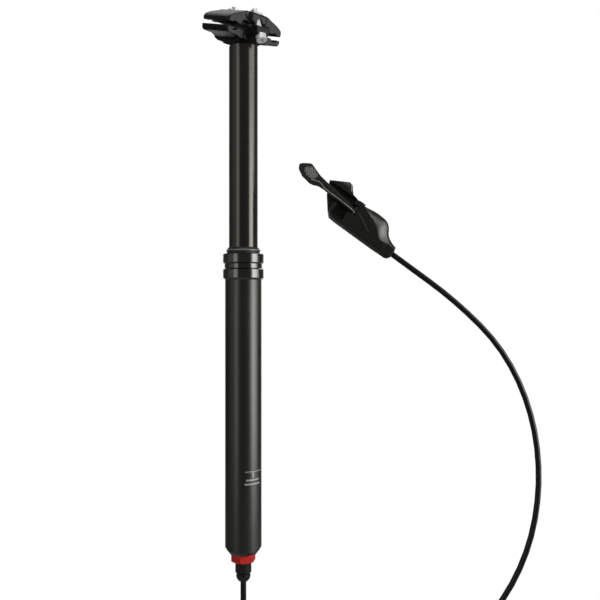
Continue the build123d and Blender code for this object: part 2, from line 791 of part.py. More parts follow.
def coil_path():
    """The coil's arcs, from the straight end under the connector to the one towards the remote."""
    depth_of = [0.0 if i <= climb_half_turn else -coil_step for i in range(coil_half_turns + 2)]
    x = 0.0
    points = [bench(x, coil_z)]
    headings = [Vector(0, 0, -1)]
    for i in range(coil_half_turns + 1):
        r = coil_radius(i)
        side = 1 if i % 2 == 0 else -1
        centre = x + side * r
        climb = depth_of[i + 1] - depth_of[i]
        slope_out = climb / (pi * r) * climb_slope_share
        points.append(bench(centre, coil_z - side * r, depth_of[i] + climb / 2))
        headings.append((to_right * side + to_viewer * slope_out).normalized())
        if i < coil_half_turns:
            x = centre + side * r
            points.append(bench(x, coil_z, depth_of[i + 1]))
            headings.append(Vector(0, 0, side))
    edges = [Line(points[0] - headings[0] * coil_end, points[0])]
    for i in range(len(points) - 1):
        edges += biarc(points[i], headings[i], points[i + 1], headings[i + 1])
    edges.append(Line(points[-1], points[-1] + headings[-1] * coil_end))
    return Wire([edge.edge() for edge in edges])


def swept_tube(path):
    return sweep(Plane(origin=path @ 0, z_dir=path % 0) * Circle(hose_r), path)


# the hose from the coil to the remote: places right of the post, up, and towards the viewer
remote_route = (
    (118, -354, -5), (172, -333, -4), (218, -294, -3), (248, -240, -2),
    (259, -179, -1), (252, -117, 0), (227, -61, 0), (185, -18.6, 0),
)


def remote_side_path():
    coil = coil_path()
    points = [coil @ 1, coil @ 1 + (coil % 1) * lead_out] + [bench(*place) for place in remote_route]
    points.append(remote_exit - remote_back_dir * hose_nut_out)
    runs = [(b - a).length for a, b in zip(points, points[1:])]
    radii = []
    for i in range(1, len(points) - 1):
        turn = radians((points[i] - points[i - 1]).get_angle(points[i + 1] - points[i]))
        radii.append(bend_share * min(runs[i - 1], runs[i]) / tan(turn / 2))
    print("hose radii:", [round(r) for r in radii], "runs:", [round(r) for r in runs])
    return FilletPolyline(*points, radius=radii)


def hose_post_side():
    return rod(hose_r, coil_z + coil_end, connector_low)


def hose_coil():
    path = coil_path()
    length = path.length
    count = int(length / 2)
    places = [path @ (i / count) for i in range(count + 1)]
    apart = int(3 * hose_d / 2)
    gap = min(
        (places[j] - places[i]).length - hose_d
        for i in range(0, count + 1, 2)
        for j in range(i + 2 * apart, count + 1)
    )
    print("coil length", round(length, 1), "least gap to itself", round(gap, 2))
    return swept_tube(path)


def hose_remote_side():
    path = remote_side_path()
    solid = swept_tube(path)
    share = solid.volume / (pi * hose_r ** 2 * path.length)
    print("remote side length", round(path.length, 1), "volume share", round(share, 4))
    return solid


def hose_ties():
    """Bands round the bundle, between its outermost and innermost turns."""
    inner = coil_radius(climb_half_turn) - hose_r - tie_gap
    outer = coil_radius(1) + hose_r + tie_gap
    bands = []
    for angle in tie_angles:
        low, high = inner, outer
        if angle > 180:
            innermost = coil_radius(climb_half_turn + 1) - hose_r
            low = sqrt(innermost ** 2 - ((coil_step + tie_width) / 2) ** 2) - tie_gap
            high = coil_r + hose_r + tie_gap
        a = radians(angle)
        outward = to_right * cos(a) + Vector(0, 0, sin(a))
        along = to_right * -sin(a) + Vector(0, 0, cos(a))
        centre = bench(coil_r + coil_step / 2, coil_z, -coil_step / 2) + outward * (low + high) / 2
        plane = Plane(origin=centre, x_dir=outward, z_dir=along)
        hole = Rectangle(high - low, coil_step + hose_d + 2 * tie_gap)
        band = Rectangle(high - low + 2 * tie_thickness, coil_step + hose_d + 2 * tie_gap + 2 * tie_thickness)
        bands.append(extrude(plane * (band - hole), tie_width / 2, both=True))
    return Compound(bands)


# Remote
# the two ends of the mounting boss's top, back from the hose exit and up from the bore's axis, as shares
# of the remote's length and height
boss_top_shares = ((0.942, 0.787), (0.812, 1.0))
# the body's outline back from the hose exit and up from the bore's axis, as shares of its length and height:
# what is the same at every depth
remote_shares = (
    (0.0, -0.18), (0.036, -0.225), (0.29, -0.232), (0.70, -0.238), (0.778, -0.222), (0.83, -0.07),
    (0.94, 0.32), (1.0, 0.69), *boss_top_shares, (0.766, 0.98), (0.73, 0.85), (0.70, 0.76),
    (0.64, 0.69), (0.60, 0.67),
)
# and its curved upper edge, on the body, along the bevel's middle and round the front face
edge_shares = (
    (0.517, 0.68), (0.424, 0.735), (0.324, 0.745), (0.225, 0.69), (0.178, 0.565), (0.138, 0.40),
    (0.085, 0.30), (0.0, 0.225),
)
bevel_shares = (
    (0.517, 0.665), (0.424, 0.66), (0.335, 0.61), (0.255, 0.52), (0.21, 0.39), (0.165, 0.265),
    (0.10, 0.185), (0.0, 0.13),
)
front_shares = (
    (0.517, 0.62), (0.424, 0.50), (0.34, 0.37), (0.28, 0.25), (0.235, 0.13), (0.18, 0.02), (0.10, -0.04),
    (0.0, -0.06),
)
# half its thickness seen from above, as shares of its length and of the thickness
remote_plan_shares = ((0.0, 0.62), (0.10, 0.74), (0.20, 1.0), (1.0, 1.0))
# the lever's outline back from its pivot and up from its lowest point, as shares of its length and width
lever_shares = (
    (-0.009, 0.06), (0.289, 0.12), (0.543, 0.16), (0.614, 0.14), (0.680, 0.01), (0.735, -0.04), (0.875, 0.05),
    (0.968, 0.28), (1.0, 0.54), (0.972, 0.70), (0.885, 0.96), (0.854, 0.99), (0.673, 0.725), (0.576, 0.66),
    (0.289, 0.51), (0.036, 0.35), (-0.009, 0.30),
)


def remote_box(x0, x1, y0, y1, z0, z1):
    """A block in the remote's frame between two corners."""
    low = (Align.MIN, Align.MIN, Align.MIN)
    return remote * Pos(x0, y0, z0) * Box(x1 - x0, y1 - y0, z1 - z0, align=low)


def remote_bore(y, z, r, start, end):
    """A round hole along the remote."""
    return remote_end * Pos(y, -z, start) * extrude(Circle(r), end - start)


def along_height(x, z, r, low, high):
    """A round peg along the remote's height, such as the lever's pin."""
    return remote_top * Pos(x, -z, low) * extrude(Circle(r), high - low)


def boss_top():
    """The sloping top of the mounting boss, with +Z out of it."""
    (x0, y0), (x1, y1) = scaled(boss_top_shares, remote_length, remote_height)
    out_of_it = remote.x_dir * (y1 - y0) + remote.y_dir * (x0 - x1)
    middle = remote.from_local_coords(((x0 + x1) / 2, (y0 + y1) / 2, mount_hole_back))
    return Plane(origin=middle, x_dir=remote.z_dir, z_dir=out_of_it)


def remote_outline(upper_shares):
    """The body's outline with the given upper edge, in millimetres."""
    fixed = scaled(remote_shares, remote_length, remote_height)
    curve = Spline(fixed[-1], *scaled(upper_shares, remote_length, remote_height))
    return make_face(Polyline(*fixed) + curve + Line(curve @ 1, fixed[0]))


def remote_body():
    outlines = [remote_outline(upper) for upper in (front_shares, bevel_shares, edge_shares)]
    depths = (-remote_front, -bevel_front, -edge_front)
    body = loft([remote * Pos(0, 0, z) * face for z, face in zip(depths, outlines)])
    body += remote * Pos(0, 0, -edge_front) * extrude(outlines[-1], edge_front + remote_back)
    plan = [(x * remote_length, -y * remote_back) for x, y in remote_plan_shares]
    plan += [(x * remote_length, y * remote_front) for x, y in reversed(remote_plan_shares)]
    body &= extrude(remote_top * make_face(Polyline(*plan, close=True)), 2 * remote_height, both=True)
    front = -remote_front - overrun
    end = remote_length + overrun
    # the chamber for the lever's hub, its opening for the arm and the way that the arm sweeps
    chamber_front = -pivot_front - hub_r - hub_gap
    chamber_top = hub_high + hub_gap
    body -= remote_box(master_bore_end, arm_way_start, hub_low - hub_gap, chamber_top, chamber_front, slot_back)
    body -= remote_box(arm_notch_start, arm_way_start, arm_notch_low, chamber_top, front, slot_back)
    body -= remote_box(arm_way_start, rim_start, arm_way_low, arm_way_high, front, slot_back)
    body -= remote_box(rim_start, end, rim_high, arm_way_high, front, slot_back)
    body -= remote_box(rim_end, end, -remote_height, rim_high, front, slot_back)
    body -= remote_box(arm_way_start, end, boss_low, 2 * remote_height, front, -boss_front)
    body -= remote_bore(0, 0, master_bore_d / 2, master_bore_start, master_bore_end + overrun)
    body -= remote_bore(0, 0, oil_way_r, hose_nut_in - seat_gap, master_bore_start + overrun)
    body -= remote_bore(0, 0, hose_nut_r + seat_gap, -overrun, hose_nut_in)
    body -= remote_bore(bladder_rise, 0, bladder_d / 2 + bladder_gap, bladder_start, bladder_start + bladder_length)
    body -= along_height(pivot_reach, -pivot_front, pivot_d / 2 + seat_gap,
                         hub_low - hub_gap - pivot_into_floor, 2 * remote_height)
    body -= along_height(pivot_reach, -pivot_front, pivot_cap_d / 2 + seat_gap, pivot_top, 2 * remote_height)
    body -= boss_top() * Pos(0, 0, -mount_hole_depth) * extrude(Circle(mount_hole_d / 2), 2 * remote_height)
    body -= peg(remote, bleed_reach, 0, bleed_d / 2 + seat_gap, remote_back - bleed_depth, remote_back + overrun)
    return body


def bleed_screw():
    body = peg(remote, bleed_reach, 0, bleed_d / 2, remote_back - bleed_depth, remote_back)
    socket = RegularPolygon(bleed_socket_d / 2, 6, major_radius=False)
    return body - remote * Pos(bleed_reach, 0, remote_back - bleed_socket_depth) * extrude(socket, overrun)


def hose_nut():
    body = remote_bore(0, 0, hose_nut_r, -hose_nut_out, hose_nut_in - seat_gap)
    return body - remote_bore(0, 0, oil_way_r / 2, 0, hose_nut_in + overrun)


def pivot_pin():
    body = along_height(pivot_reach, -pivot_front, pivot_d / 2, hub_low - hub_gap - pivot_into_floor, pivot_top)
    return body + along_height(pivot_reach, -pivot_front, pivot_cap_d / 2, pivot_top, pivot_top + pivot_cap)


def lever():
    outline = make_face(Polyline(*scaled(lever_shares, lever_length, lever_width), close=True))
    corners = outline.vertices().filter_by_position(Axis.X, lever_length / 4, 2 * lever_length)
    plate = extrude(fillet(corners, paddle_corner), arm_front - arm_back)
    plate = chamfer(plate.faces().sort_by(Axis.Z)[0].edges(), lever_edge)
    body = remote * Pos(pivot_reach, lever_low, -arm_front) * plate
    body += along_height(pivot_reach, -pivot_front, hub_r, hub_low, hub_high)
    nose = pivot_front - cam_arm
    body += remote_box(pivot_reach - cam_r, pivot_reach + cam_r, -cam_width / 2, cam_width / 2, -pivot_front, -nose)
    body += along_height(pivot_reach, -nose, cam_r, -cam_width / 2, cam_width / 2)
    return body - along_height(pivot_reach, -pivot_front, pivot_d / 2 + slip, hub_low - overrun, hub_high + overrun)


def rod_end():
    """Where the master piston's rod meets the cam."""
    return pivot_reach - cam_r - slip


def master_piston():
    r = master_bore_d / 2 - slip
    back = rod_end() - rod_length
    front = back - master_piston_length
    body = remote_bore(0, 0, r, front, back) + remote_bore(0, 0, rod_d / 2, back, rod_end())
    groove = Torus(r - master_seal_d / 2, master_seal_d / 2 + seat_gap)
    return body - remote_end * Pos(0, 0, (front + back) / 2) * groove


def master_seal():
    r = master_bore_d / 2 - slip
    mid = rod_end() - rod_length - master_piston_length / 2
    return remote_end * Pos(0, 0, mid) * Torus(r - master_seal_d / 2, master_seal_d / 2)


def return_spring():
    start = master_bore_start + return_wire_d / 2 + seat_gap
    end = rod_end() - rod_length - master_piston_length - return_wire_d / 2 - seat_gap
    helix = remote_end * Pos(0, 0, start) * Helix(
        pitch=(end - start) / return_turns, height=end - start, radius=return_mean_d / 2
    )
    return sweep(Plane(origin=helix @ 0, z_dir=helix % 0) * Circle(return_wire_d / 2), helix)


def expansion_bladder():
    return remote_bore(bladder_rise, 0, bladder_d / 2, bladder_start + bladder_gap,
                       bladder_start + bladder_length - bladder_gap)


parts = {
    "outer_tube": outer_tube(),
    "collar": collar(),
    "dust_wiper": dust_wiper(),
    "wiper_spring_ring": wiper_spring_ring(),
    "wiping_ring": wiping_ring(),
    "upper_bushing": upper_bushing(),
    "foot_plug": foot_plug(),
    "bottom_buffer": bottom_buffer(),
    "inner_shaft": inner_shaft(),
    "main_piston": main_piston(),
    "glide_band": glide_band(),
    "coupler_nut": coupler_nut(),
    "hose_connector": hose_connector(),
    "hose_post_side": hose_post_side(),
    "hose_coil": hose_coil(),
    "hose_remote_side": hose_remote_side(),
    "hose_ties": hose_ties(),
    "stanchion": stanchion(),
    "head": head(),
    "lower_bushing": lower_bushing(),
    "anti_rotation_keys": anti_rotation_keys(),
    "seal_head": seal_head(),
    "shaft_seal": shaft_seal(),
    "top_out_buffer": top_out_buffer(),
    "inner_tube": inner_tube(),
    "tube_cap": tube_cap(),
    "air_valve": air_valve(),
    "floating_piston": floating_piston(),
    "floating_seals": floating_seals(),
    "poppet_valve": poppet_valve(),
    "lower_cradle": lower_cradle(),
    "upper_clamp": upper_clamp(),
    "front_bolt": clamp_bolt(front_bolt, front_bolt_reach),
    "front_washer": clamp_washer(front_bolt, front_bolt_reach),
    "front_barrel_nut": barrel_nut(front_bolt),
    "rear_bolt": clamp_bolt(rear_bolt, rear_bolt_reach),
    "rear_washer": clamp_washer(rear_bolt, rear_bolt_reach),
    "rear_barrel_nut": barrel_nut(rear_bolt),
    "remote_body": remote_body(),
    "bleed_screw": bleed_screw(),
    "hose_nut": hose_nut(),
    "pivot_pin": pivot_pin(),
    "lever": lever(),
    "master_piston": master_piston(),
    "master_seal": master_seal(),
    "return_spring": return_spring(),
    "expansion_bladder": expansion_bladder(),
}

os.makedirs("parts", exist_ok=True)
for name, shape in parts.items():
    export_step(shape, f"parts/{name}.step")
    print(name, round(shape.volume, 1))
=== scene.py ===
# %% [markdown]
# # A dropper seatpost with its hose and its thumb remote
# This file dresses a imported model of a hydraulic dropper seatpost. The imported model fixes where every
# piece is, so nothing here is measured again: places come from the frame or from a few real sizes.
# Blender works in metres, and the sizes named here are millimetres unless a comment says otherwise. The
# origin is on the post's axis at the underside of the collar, and +Z runs up.

# %% Load the frame
from math import atan2, cos, pi, radians, sin, sqrt

import bmesh
import bpy
from mathutils import Matrix, Vector
from mathutils.bvhtree import BVHTree


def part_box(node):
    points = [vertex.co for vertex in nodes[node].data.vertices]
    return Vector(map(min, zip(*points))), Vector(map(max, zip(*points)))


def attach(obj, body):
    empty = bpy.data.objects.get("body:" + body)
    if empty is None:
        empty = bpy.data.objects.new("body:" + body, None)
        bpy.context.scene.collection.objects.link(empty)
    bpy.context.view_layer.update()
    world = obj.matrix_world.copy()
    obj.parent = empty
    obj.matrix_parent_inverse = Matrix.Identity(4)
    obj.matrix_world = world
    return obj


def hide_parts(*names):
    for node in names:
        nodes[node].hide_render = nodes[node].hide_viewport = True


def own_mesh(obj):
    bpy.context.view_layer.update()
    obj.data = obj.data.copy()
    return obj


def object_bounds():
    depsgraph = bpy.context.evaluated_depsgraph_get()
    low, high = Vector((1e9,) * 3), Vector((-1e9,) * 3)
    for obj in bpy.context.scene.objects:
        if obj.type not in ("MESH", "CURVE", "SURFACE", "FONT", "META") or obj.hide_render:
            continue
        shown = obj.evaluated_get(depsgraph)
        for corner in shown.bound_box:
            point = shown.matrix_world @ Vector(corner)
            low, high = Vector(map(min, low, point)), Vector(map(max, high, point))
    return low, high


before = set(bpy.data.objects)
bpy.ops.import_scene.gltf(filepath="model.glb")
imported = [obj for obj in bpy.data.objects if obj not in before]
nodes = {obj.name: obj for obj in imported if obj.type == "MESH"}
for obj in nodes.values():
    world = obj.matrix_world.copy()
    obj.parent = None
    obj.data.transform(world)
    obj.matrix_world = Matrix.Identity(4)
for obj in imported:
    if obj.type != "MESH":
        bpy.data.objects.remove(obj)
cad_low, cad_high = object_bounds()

MM = 0.001
scene = bpy.context.scene
print("nodes:", len(nodes), "box:", [round(c, 3) for c in cad_high - cad_low])

# %% [markdown]
# ## Where things are seen from
# The photograph is a straight-on product shot. The clamp is seen from the front left at 46 degrees, while
# the camera stays level, a little below the collar and a little right of the post. Two directions
# serve the whole file: to the right in the picture, and towards the viewer.

# %% Directions of the picture
view_azimuth = radians(46.0)
to_right = Vector((cos(view_azimuth), sin(view_azimuth), 0))
to_viewer = Vector((sin(view_azimuth), -cos(view_azimuth), 0))


def bench(right, up, toward=0.0):
    """A point from millimetres right of the post, up, and towards the viewer."""
    return (to_right * right + to_viewer * toward + Vector((0, 0, up))) * MM


print("to the right:", [round(c, 3) for c in to_right])

# %% Camera
camera_right = 49.2
camera_up = -17.4
camera_away = 656.0
focal_pixels = 755.0
picture_pixels = 600.0
camera_data = bpy.data.cameras.new("camera")
camera_data.sensor_width = 36.0
camera_data.lens = camera_data.sensor_width * focal_pixels / picture_pixels
camera = bpy.data.objects.new("camera", camera_data)
scene.collection.objects.link(camera)
camera.location = bench(camera_right, camera_up, camera_away)
camera.rotation_mode = "QUATERNION"
camera.rotation_quaternion = (-to_viewer).to_track_quat("-Z", "Y")
scene.camera = camera
print("lens:", round(camera_data.lens, 2), "mm")

# %% [markdown]
# ## Light and background
# The product shot is lit by tall soft boxes at both sides, which draw the long upright bands on the
# tubes, and everything behind is pure white. A bright lamp behind the part could make that white, but it
# would also wash out the black. Here a Light Path node gives the white to what the camera sees, and a
# small share of it to reflections, so black stays black.


# %% Helpers for node trees
def wire(tree, *links):
    """Joins sockets, given as pairs of an output and an input."""
    for source, target in links:
        tree.links.new(source, target)


def math_node(tree, operation, second=None):
    """A Math node, with a fixed second value where one is given."""
    node = tree.nodes.new("ShaderNodeMath")
    node.operation = operation
    if second is not None:
        node.inputs[1].default_value = second
    return node


def range_node(tree, from_low, from_high, to_low, to_high):
    """A Map Range node, which turns one span of values into another."""
    node = tree.nodes.new("ShaderNodeMapRange")
    node.inputs["From Min"].default_value = from_low
    node.inputs["From Max"].default_value = from_high
    node.inputs["To Min"].default_value = to_low
    node.inputs["To Max"].default_value = to_high
    return node


# %% World
fill_strength = 0.08
white_in_reflections = 0.03
scene.view_settings.view_transform = "Standard"
world = bpy.data.worlds.new("studio")
scene.world = world
world.use_nodes = True
tree = world.node_tree
tree.nodes.clear()
sky_output = tree.nodes.new("ShaderNodeOutputWorld")
sky_mix = tree.nodes.new("ShaderNodeMixShader")
fill_light = tree.nodes.new("ShaderNodeBackground")
fill_light.inputs["Color"].default_value = (1, 1, 1, 1)
fill_light.inputs["Strength"].default_value = fill_strength
white = tree.nodes.new("ShaderNodeBackground")
white.inputs["Color"].default_value = (1, 1, 1, 1)
white.inputs["Strength"].default_value = 1.0
rays = tree.nodes.new("ShaderNodeLightPath")
mirrored = math_node(tree, "MULTIPLY", white_in_reflections)
seen = math_node(tree, "ADD")
seen_through = math_node(tree, "MAXIMUM")
wire(
    tree,
    (rays.outputs["Is Glossy Ray"], mirrored.inputs[0]),
    (rays.outputs["Is Camera Ray"], seen.inputs[0]),
    (mirrored.outputs[0], seen.inputs[1]),
    (seen.outputs[0], seen_through.inputs[0]),
    (rays.outputs["Is Transmission Ray"], seen_through.inputs[1]),
    (seen_through.outputs[0], sky_mix.inputs[0]),
    (fill_light.outputs[0], sky_mix.inputs[1]),
    (white.outputs[0], sky_mix.inputs[2]),
    (sky_mix.outputs[0], sky_output.inputs["Surface"]),
)
print("world fill:", fill_strength)


# %% Soft boxes
def soft_box(name, place, size, radiance, aim=(0, 0)):
    """A rectangular lamp at a bench place, with its size in metres, turned to a point on the bench.

    A lamp of radiance 1 looks white."""
    data = bpy.data.lights.new(name, "AREA")
    data.shape = "RECTANGLE"
    data.size = size[0]
    data.size_y = size[1]
    data.energy = radiance * pi * size[0] * size[1]
    lamp = bpy.data.objects.new(name, data)
    scene.collection.objects.link(lamp)
    lamp.location = bench(*place)
    target = bench(aim[0], aim[1])
    lamp.rotation_mode = "QUATERNION"
    lamp.rotation_quaternion = (target - lamp.location).to_track_quat("-Z", "Y")
    lamp.visible_camera = False
    return lamp


def round_the_post(angle, away):
    """A bench place at a distance from the post, so many degrees to the right of the viewer."""
    return (away * sin(radians(angle)), 0, away * cos(radians(angle)))


# a real soft box is brightest in its middle, so the right one is three boxes in front of each other
lamps = [
    soft_box("right_box", round_the_post(76, 1200), (1.1, 1.7), 2.0),
    soft_box("right_middle", round_the_post(72, 1190), (0.76, 0.84), 1.4),
    soft_box("right_core", round_the_post(68, 1180), (0.42, 0.6), 1.4),
    soft_box("left_box", round_the_post(-41, 1200), (0.52, 1.7), 1.05),
    soft_box("left_wide", round_the_post(-74, 1210), (0.7, 1.7), 0.2),
    soft_box("top_box", (60, 1050, 600), (1.1, 0.9), 1.3, aim=(60, 60)),
    # three more light the back, from where the front of the post and the remote hardly mirror them
    soft_box("back_right_box", round_the_post(161, 1200), (0.28, 1.7), 1.0),
    soft_box("back_left_box", round_the_post(-161, 1200), (0.28, 1.7), 1.0),
    soft_box("back_top_box", (40, 950, -750), (1.1, 0.8), 1.1, aim=(60, 60)),
]
print("lamps:", len(lamps))

# %% [markdown]
# ## The paper below
# The part hangs a little above a sheet of white paper, which catches its soft shadow. Plain white paper
# would look grey towards the horizon, so the paper glows for the camera: a little less under the part,
# where the shadow has to show, and fully from half a metre on, where it meets the white background.

# %% Floor sheet
floor_drop = 0.12           # below the part's lowest point, in metres
floor_reach = 12.0          # from the middle to an edge, in metres
bm = bmesh.new()
bmesh.ops.create_grid(bm, x_segments=2, y_segments=2, size=floor_reach)
bmesh.ops.translate(bm, verts=bm.verts, vec=(0, 0, cad_low.z - floor_drop))
floor_mesh = bpy.data.meshes.new("floor")
bm.to_mesh(floor_mesh)
bm.free()
floor = bpy.data.objects.new("floor", floor_mesh)
scene.collection.objects.link(floor)
print("floor at", round(cad_low.z - floor_drop, 3))

# %% Paper
paper_grey = 0.3
glow_start = 0.15           # distances from the post's foot, in metres
mirror_start = 0.2
glow_full = 0.5
glow_under_part = 0.9
glow_in_reflections = 0.06
paper = bpy.data.materials.new("paper")
paper.use_nodes = True
tree = paper.node_tree
paper_output = tree.nodes["Material Output"]
paper_matt = tree.nodes["Principled BSDF"]
paper_matt.inputs["Base Color"].default_value = (paper_grey, paper_grey, paper_grey, 1)
paper_matt.inputs["Roughness"].default_value = 1.0
paper_matt.inputs["Specular IOR Level"].default_value = 0.0
glow = tree.nodes.new("ShaderNodeEmission")
glow.inputs["Strength"].default_value = 1.0
paper_mix = tree.nodes.new("ShaderNodeMixShader")
rays = tree.nodes.new("ShaderNodeLightPath")
place = tree.nodes.new("ShaderNodeTexCoord")
centred = tree.nodes.new("ShaderNodeMapping")
centred.inputs["Location"].default_value = (0, 0, floor_drop - cad_low.z)
away = tree.nodes.new("ShaderNodeVectorMath")
away.operation = "LENGTH"
for_camera = range_node(tree, glow_start, glow_full, glow_under_part, 1.0)
for_reflections = range_node(tree, mirror_start, glow_full, glow_in_reflections, 0.0)
camera_share = math_node(tree, "MULTIPLY")
mirror_share = math_node(tree, "MULTIPLY")
glow_share = math_node(tree, "ADD")
wire(
    tree,
    (place.outputs["Object"], centred.inputs["Vector"]),
    (centred.outputs["Vector"], away.inputs[0]),
    (away.outputs["Value"], for_camera.inputs["Value"]),
    (away.outputs["Value"], for_reflections.inputs["Value"]),
    (rays.outputs["Is Camera Ray"], camera_share.inputs[0]),
    (for_camera.outputs["Result"], camera_share.inputs[1]),
    (rays.outputs["Is Glossy Ray"], mirror_share.inputs[0]),
    (for_reflections.outputs["Result"], mirror_share.inputs[1]),
    (camera_share.outputs[0], glow_share.inputs[0]),
    (mirror_share.outputs[0], glow_share.inputs[1]),
    (glow_share.outputs[0], paper_mix.inputs[0]),
    (paper_matt.outputs[0], paper_mix.inputs[1]),
    (glow.outputs[0], paper_mix.inputs[2]),
    (paper_mix.outputs[0], paper_output.inputs["Surface"]),
)
floor_mesh.materials.append(paper)
print("paper white from", glow_full, "m")

# %% [markdown]
# ## Helpers for surfaces
# Anodised aluminium, forged aluminium, rubber and moulded plastic differ mostly in how they scatter
# light. Each finish here is one Principled shader whose roughness wanders a little and whose surface
# has a fine grain at the right size. The patterns read Object coordinates, so they stay on the piece.


# %% Finish helpers
noise_low = 0.3             # most of a noise pattern's values lie between these two
noise_high = 0.7


def new_finish(name, colour, roughness, metallic=0.0, specular=0.5, tint=(1, 1, 1)):
    """A material with its plain values set on the shader itself."""
    material = bpy.data.materials.new(name)
    material.use_nodes = True
    shader = material.node_tree.nodes["Principled BSDF"]
    shader.inputs["Base Color"].default_value = (*colour, 1)
    shader.inputs["Roughness"].default_value = roughness
    shader.inputs["Metallic"].default_value = metallic
    shader.inputs["Specular IOR Level"].default_value = specular
    shader.inputs["Specular Tint"].default_value = (*tint, 1)
    return material


def placed_noise(material, scale, stretch=(1, 1, 1), detail=3.0):
    """A noise pattern in the piece's own place, stretched along the axes."""
    tree = material.node_tree
    place = tree.nodes.new("ShaderNodeTexCoord")
    mapping = tree.nodes.new("ShaderNodeMapping")
    mapping.inputs["Scale"].default_value = stretch
    noise = tree.nodes.new("ShaderNodeTexNoise")
    noise.inputs["Scale"].default_value = scale
    noise.inputs["Detail"].default_value = detail
    wire(
        tree,
        (place.outputs["Object"], mapping.inputs["Vector"]),
        (mapping.outputs["Vector"], noise.inputs["Vector"]),
    )
    return noise


def vary_roughness(material, noise, low, high):
    """Lets the roughness wander between two values."""
    tree = material.node_tree
    span = range_node(tree, noise_low, noise_high, low, high)
    wire(
        tree,
        (noise.outputs["Fac"], span.inputs["Value"]),
        (span.outputs["Result"], tree.nodes["Principled BSDF"].inputs["Roughness"]),
    )


def add_grain(material, noise, strength, depth):
    """Adds a fine bump from a noise pattern, with its depth in metres."""
    tree = material.node_tree
    bump = tree.nodes.new("ShaderNodeBump")
    bump.inputs["Strength"].default_value = strength
    bump.inputs["Distance"].default_value = depth
    wire(
        tree,
        (noise.outputs["Fac"], bump.inputs["Height"]),
        (bump.outputs["Normal"], tree.nodes["Principled BSDF"].inputs["Normal"]),
    )


def paint(mesh, material):
    """Gives a mesh its material, and takes off what it had."""
    mesh.materials.clear()
    mesh.materials.append(material)


def dress(material, *names):
    """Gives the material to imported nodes."""
    for name in names:
        paint(nodes[name].data, material)
    print(material.name, "on", ", ".join(names))


# %% [markdown]
# ## The tubes
# The stanchion has the deepest gloss: hard black anodising on a polished tube, with a faint brown
# cast. Its noise is squeezed along the tube, as the fine rings of a ground surface are. The outer tube
# is the same metal blasted before anodising, so its bands of light are broad and soft.

# %% Stanchion black
stanchion_black = new_finish("stanchion_black", (0.006, 0.0045, 0.003), 0.2, specular=1.0,
                             tint=(1.0, 0.94, 0.84))
rings = placed_noise(stanchion_black, 60, stretch=(0.2, 0.2, 12))
vary_roughness(stanchion_black, rings, 0.17, 0.22)
dress(stanchion_black, "stanchion")

# %% Tube black
tube_black = new_finish("tube_black", (0.006, 0.006, 0.0045), 0.33, specular=0.95, tint=(1.0, 1.0, 0.94))
blasted = placed_noise(tube_black, 2600, detail=2.0)
vary_roughness(tube_black, blasted, 0.29, 0.36)
add_grain(tube_black, blasted, 0.12, 0.00004)
dress(tube_black, "outer_tube", "foot_plug")

# %% [markdown]
# ## The insertion mark
# A seatpost carries a line that has to stay inside the frame. It is a thin printed film, so it is
# modelled as one: a small rectangle is spun part of the way round the tube's axis and stands only a
# few hundredths of a millimetre proud. An image on the tube would do too, but geometry stays sharp and
# needs no file. Below the line are a short tick and two plain bars.

# %% Printed film
print_grey = new_finish("print_grey", (0.42, 0.42, 0.40), 0.5)
vary_roughness(print_grey, placed_noise(print_grey, 1800), 0.42, 0.58)
crease = radians(35)        # edges sharper than this stay sharp when a mesh is shaded smooth
tube_radius = (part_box("outer_tube")[1].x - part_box("outer_tube")[0].x) / 2 / MM
film = 0.05
spin_step = 3               # degrees between the film's faces
# each film runs between two angles right of the viewer, in degrees, and two heights
mark_line = (9, 73, -163.8, -163.2)
mark_tick = (33.2, 38.0, -168.8, -163.8)
upper_bar = (13, 60, -171.3, -170.0)
lower_bar = (8, 64, -174.8, -173.5)


def printed(bm, start, end, low, high):
    """Adds a film on the tube between two angles right of the viewer and two heights."""
    square = bmesh.ops.create_grid(bm, x_segments=1, y_segments=1, size=0.5)["verts"]
    # the square's x becomes the film's thickness at the tube's wall, and its y the height
    on_wall = Matrix((
        (film, 0, 0, tube_radius + film / 2),
        (0, 0, 1, 0),
        (0, high - low, 0, (low + high) / 2),
        (0, 0, 0, 1),
    ))
    bmesh.ops.transform(bm, matrix=Matrix.Scale(MM, 4) @ on_wall, verts=square)
    to_start = atan2(to_viewer.y, to_viewer.x) + radians(start)
    bmesh.ops.rotate(bm, verts=square, matrix=Matrix.Rotation(to_start, 3, "Z"))
    face = square[0].link_faces[0]
    steps = max(2, round((end - start) / spin_step))
    bmesh.ops.spin(bm, geom=square + list(face.edges) + [face], cent=(0, 0, 0), axis=(0, 0, 1),
                   angle=radians(end - start), steps=steps, use_duplicate=False)


def count_open(bm):
    """How many edges don't join two faces, which is none on a closed form."""
    return sum(1 for edge in bm.edges if len(edge.link_faces) != 2)


bm = bmesh.new()
for film_place in (mark_line, mark_tick, upper_bar, lower_bar):
    printed(bm, *film_place)
bmesh.ops.recalc_face_normals(bm, faces=bm.faces)
print("mark faces:", len(bm.faces), "open edges:", count_open(bm))
mark_mesh = bpy.data.meshes.new("insertion_mark")
bm.to_mesh(mark_mesh)
bm.free()
mark_mesh.shade_smooth()
mark_mesh.set_sharp_from_angle(angle=crease)
paint(mark_mesh, print_grey)
insertion_mark = bpy.data.objects.new("insertion_mark", mark_mesh)
scene.collection.objects.link(insertion_mark)
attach(insertion_mark, "lower")

# %% [markdown]
# ## The collar
# The collar is turned on a lathe and brightly anodised, so it mirrors the soft boxes more strongly than
# the tubes do. A dark metal gives that: its base colour is what it mirrors, and stays dark elsewhere.

